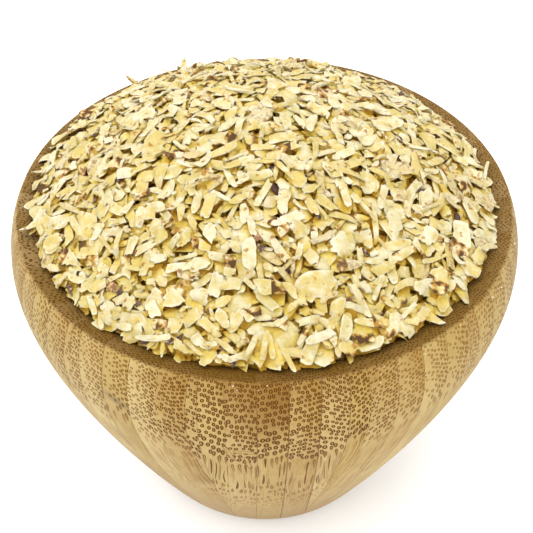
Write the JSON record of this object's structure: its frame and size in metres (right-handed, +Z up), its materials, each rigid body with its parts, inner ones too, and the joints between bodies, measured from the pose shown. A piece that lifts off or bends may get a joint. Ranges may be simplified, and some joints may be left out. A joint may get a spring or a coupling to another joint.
{
  "type": "bowl of tiger nut flakes",
  "caption": "Round bamboo bowl with a deep tapering wall and a sloping rim, heaped in a dome above the rim with pale dry flakes.",
  "frame": {"origin": "centre of the bowl's flat foot, on the surface it stands on", "axes": "+Z up along the bowl's turning axis, -Y towards the viewer, +X to the viewer's right"},
  "size_m": [0.14, 0.14, 0.1338],
  "materials": {
    "bamboo": "satin, laminated bamboo with dark vascular dots on the rim and streaks down the wall",
    "flakes": "matt and floury, cream to straw yellow with brown skin edges"
  },
  "bodies": {
    "root": {"bowl": "bamboo", "flake_heap": "flakes"}
  },
  "joints": []
}
